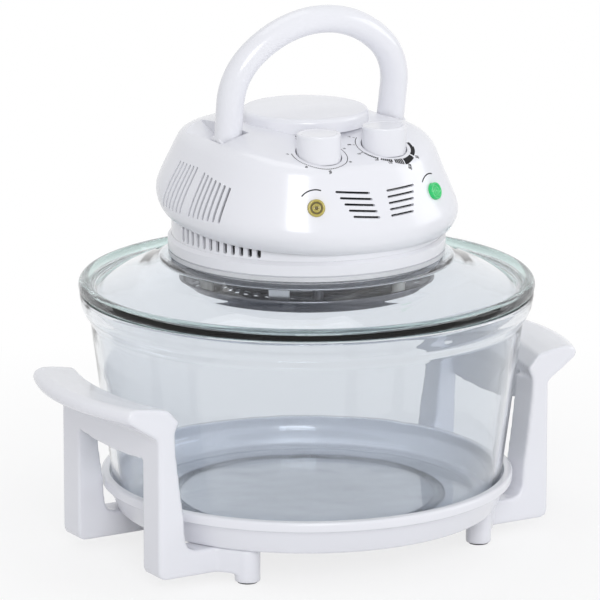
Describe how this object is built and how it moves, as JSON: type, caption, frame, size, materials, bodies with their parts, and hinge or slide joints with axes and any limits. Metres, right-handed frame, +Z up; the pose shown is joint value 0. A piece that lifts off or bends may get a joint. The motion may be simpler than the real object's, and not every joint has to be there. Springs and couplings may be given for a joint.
{
  "type": "halogen oven",
  "caption": "Tabletop halogen oven: a deep glass bowl in a white stand with two grips, and a domed glass lid that carries a white heating head with knobs and a carry handle.",
  "frame": {"origin": "on the table surface, under the axis of the bowl, the lid and the fans", "axes": "+Z up; the control panel and the knobs face -Y; the stand's two grips are at +X and -X"},
  "size_m": [0.406, 0.33, 0.3958],
  "materials": {
    "white_plastic": "gloss",
    "steel_sheet": "satin",
    "polished_steel": "polished",
    "dark_steel": "satin",
    "black_rubber": "matte",
    "pale_silicone": "matte",
    "ceramic": "matte ceramic",
    "clear_glass": "clear",
    "brass": "satin",
    "black_plastic": "matte",
    "aluminium_cast": "satin",
    "copper": "enamelled wire",
    "amber_plastic": "gloss",
    "green_plastic": "gloss",
    "lamp_glass": "clear"
  },
  "bodies": {
    "stand": {"stand_tray": "white_plastic", "bracket_left": "white_plastic", "bracket_right": "white_plastic", "foot_screws": "steel_sheet", "foot_pads": "black_rubber"},
    "bowl": {"glass_bowl": "clear_glass"},
    "lid": {"glass_lid": "clear_glass", "upper_gasket": "pale_silicone", "lower_gasket": "pale_silicone", "base_ring": "white_plastic", "upper_housing": "white_plastic", "housing_screws": "steel_sheet", "reflector_plate": "steel_sheet", "plate_screws": "steel_sheet", "insulation_disc": "ceramic", "safety_switch": "black_plastic", "timer_body": "black_plastic", "timer_bell": "brass", "thermostat_body": "ceramic", "thermostat_probe": "dark_steel", "control_screws": "steel_sheet", "amber_lens": "amber_plastic", "green_lens": "green_plastic", "pilot_bulbs": "lamp_glass", "motor_posts": "steel_sheet", "motor_bracket": "steel_sheet", "motor_core": "dark_steel", "motor_coil": "copper", "motor_cap": "steel_sheet", "motor_bushes": "brass", "motor_screws": "steel_sheet", "quartz_tube": "lamp_glass", "lamp_filament": "dark_steel", "lamp_sockets": "ceramic", "lamp_clips": "dark_steel", "guard_strap": "steel_sheet", "guard_dish": "polished_steel", "guard_posts": "ceramic", "cable_bushing": "black_plastic", "terminal_block": "ceramic"},
    "handle": {"carry_handle": "white_plastic", "handle_pins": "steel_sheet", "switch_cam": "black_plastic"},
    "plunger": {"switch_plunger": "black_plastic"},
    "timer_dial": {"timer_shaft": "steel_sheet", "timer_knob": "white_plastic"},
    "thermostat_dial": {"thermostat_shaft": "steel_sheet", "thermostat_knob": "white_plastic"},
    "fans": {"fan_shaft": "steel_sheet", "cooling_fan": "white_plastic", "hot_air_fan": "aluminium_cast", "motor_rotor": "aluminium_cast", "fan_nut": "steel_sheet"}
  },
  "joints": [
    {"name": "bowl_lift", "type": "slide", "parent": "stand", "child": "bowl", "axis": [0, 0, 1], "range_m": [0, 0.12]},
    {"name": "lid_lift", "type": "slide", "parent": "bowl", "child": "lid", "axis": [0, 0, 1], "range_m": [0, 0.15]},
    {"name": "handle_fold", "type": "hinge", "parent": "lid", "child": "handle", "pos_m": [0, -0.003, 0.297], "axis": [-1, 0, 0], "range_deg": [0, 79]},
    {"name": "switch_press", "type": "slide", "parent": "lid", "child": "plunger", "axis": [0, 0, -1], "range_m": [0, 0.0031]},
    {"name": "timer_turn", "type": "hinge", "parent": "lid", "child": "timer_dial", "pos_m": [-0.027, -0.062, 0.3], "axis": [0, 0, -1], "range_deg": [0, 300]},
    {"name": "thermostat_turn", "type": "hinge", "parent": "lid", "child": "thermostat_dial", "pos_m": [0.027, -0.062, 0.3], "axis": [0, 0, -1], "range_deg": [0, 270]},
    {"name": "fan_spin", "type": "hinge", "parent": "lid", "child": "fans", "pos_m": [0, 0, 0.25], "axis": [0, 0, 1], "continuous": true}
  ],
  "couplings": [
    {"joint": "switch_press", "follows": "handle_fold", "m_per_rad": 0.002175}
  ]
}
